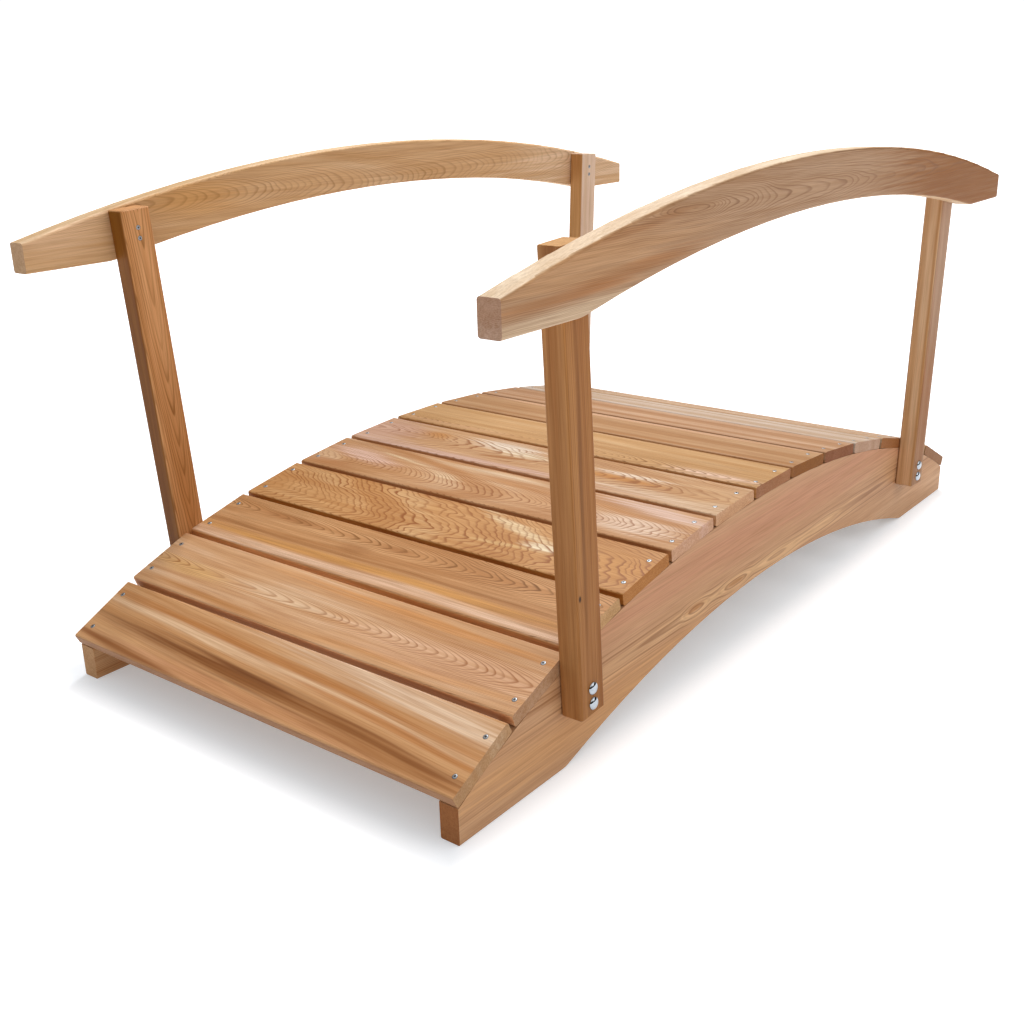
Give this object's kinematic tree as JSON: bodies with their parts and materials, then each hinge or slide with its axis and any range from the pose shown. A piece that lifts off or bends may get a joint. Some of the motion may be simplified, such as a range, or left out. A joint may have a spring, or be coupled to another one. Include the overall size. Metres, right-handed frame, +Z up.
{
  "type": "moon bridge",
  "caption": "Arched wooden garden footbridge: deck of cross boards on curved stringers with flat feet, with leaning posts and an arched handrail along each side.",
  "frame": {"origin": "middle of the bridge, on the ground plane under the crown", "axes": "+X along the bridge, towards the end that is far in the picture, +Y towards the left handrail, +Z up"},
  "size_m": [1.9044, 1.07, 0.8926],
  "materials": {
    "right_stringer": "smooth unfinished cedar",
    "left_stringer": "smooth unfinished cedar",
    "deck_board_01": "smooth unfinished cedar",
    "deck_board_02": "smooth unfinished cedar",
    "deck_board_03": "smooth unfinished cedar",
    "deck_board_04": "smooth unfinished cedar",
    "deck_board_05": "smooth unfinished cedar",
    "deck_board_06": "smooth unfinished cedar",
    "deck_board_07": "smooth unfinished cedar",
    "deck_board_08": "smooth unfinished cedar",
    "deck_board_09": "smooth unfinished cedar",
    "deck_board_10": "smooth unfinished cedar",
    "deck_board_11": "smooth unfinished cedar",
    "deck_board_12": "smooth unfinished cedar",
    "deck_board_13": "smooth unfinished cedar",
    "near_right_post": "smooth unfinished cedar",
    "near_left_post": "smooth unfinished cedar",
    "far_right_post": "smooth unfinished cedar",
    "far_left_post": "smooth unfinished cedar",
    "right_handrail": "smooth unfinished cedar",
    "left_handrail": "smooth unfinished cedar"
  },
  "bodies": {
    "root": {"right_stringer": "right_stringer", "left_stringer": "left_stringer", "deck_board_01": "deck_board_01", "deck_board_02": "deck_board_02", "deck_board_03": "deck_board_03", "deck_board_04": "deck_board_04", "deck_board_05": "deck_board_05", "deck_board_06": "deck_board_06", "deck_board_07": "deck_board_07", "deck_board_08": "deck_board_08", "deck_board_09": "deck_board_09", "deck_board_10": "deck_board_10", "deck_board_11": "deck_board_11", "deck_board_12": "deck_board_12", "deck_board_13": "deck_board_13", "near_right_post": "near_right_post", "near_left_post": "near_left_post", "far_right_post": "far_right_post", "far_left_post": "far_left_post", "right_handrail": "right_handrail", "left_handrail": "left_handrail"}
  },
  "joints": []
}
